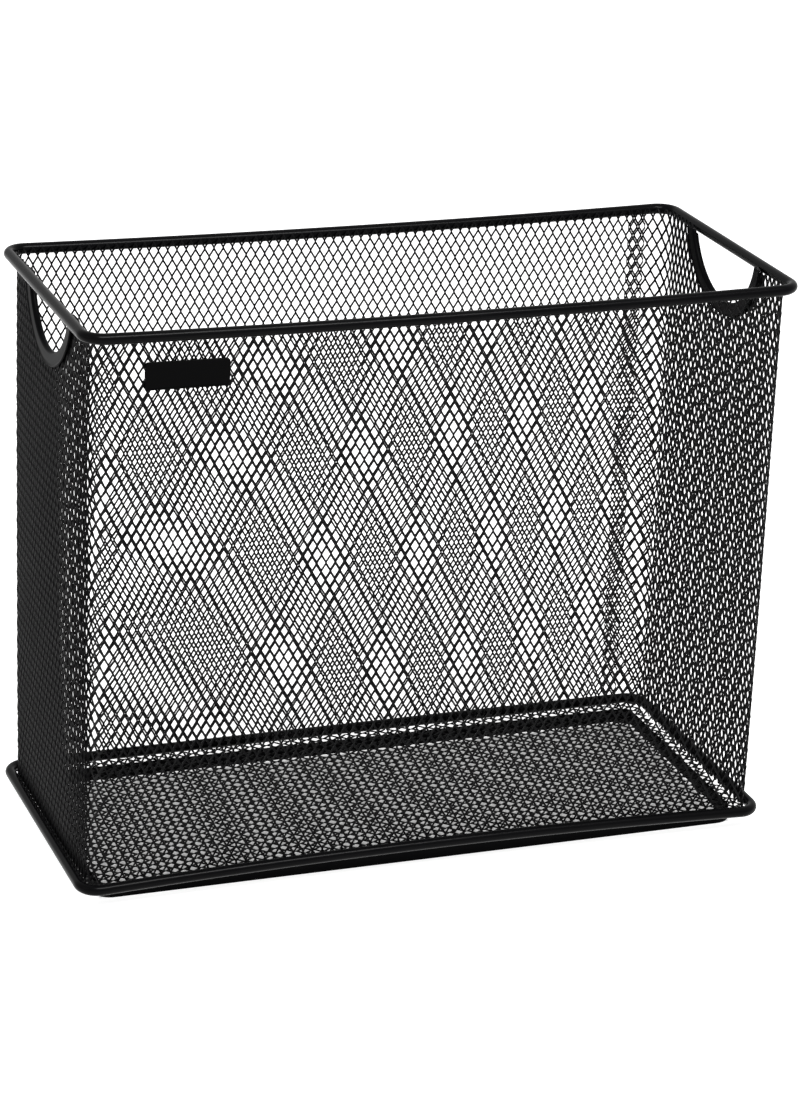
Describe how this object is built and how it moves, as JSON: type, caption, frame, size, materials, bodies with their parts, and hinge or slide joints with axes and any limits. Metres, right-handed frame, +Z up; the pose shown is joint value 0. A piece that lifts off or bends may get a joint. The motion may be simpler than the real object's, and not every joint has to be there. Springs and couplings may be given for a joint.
{
  "type": "hanging file rack",
  "caption": "Open-topped expanded-mesh box on a wire frame, with hand holes in both ends, for hanging letter-size files.",
  "frame": {"origin": "on the surface the rack stands on, under the middle of the box", "axes": "+X along the long side, +Y towards the back with the lapped seam, +Z up"},
  "size_m": [0.3174, 0.1396, 0.254],
  "materials": {
    "black_mesh": "semi-gloss powder coat",
    "black_wire": "semi-gloss powder coat",
    "black_trim": "satin powder coat",
    "plate": "gloss enamel"
  },
  "bodies": {
    "root": {"mesh_front": "black_mesh", "mesh_back": "black_mesh", "mesh_left_end": "black_mesh", "mesh_right_end": "black_mesh", "mesh_corners": "black_mesh", "seam_lap": "black_mesh", "floor_mesh": "black_mesh", "top_rim": "black_wire", "top_rim_weld": "black_wire", "base_rim": "black_wire", "base_rim_weld": "black_wire", "foot_frame": "black_trim", "hand_hole_trim_left": "black_trim", "hand_hole_trim_right": "black_trim", "name_plate": "plate"}
  },
  "joints": []
}
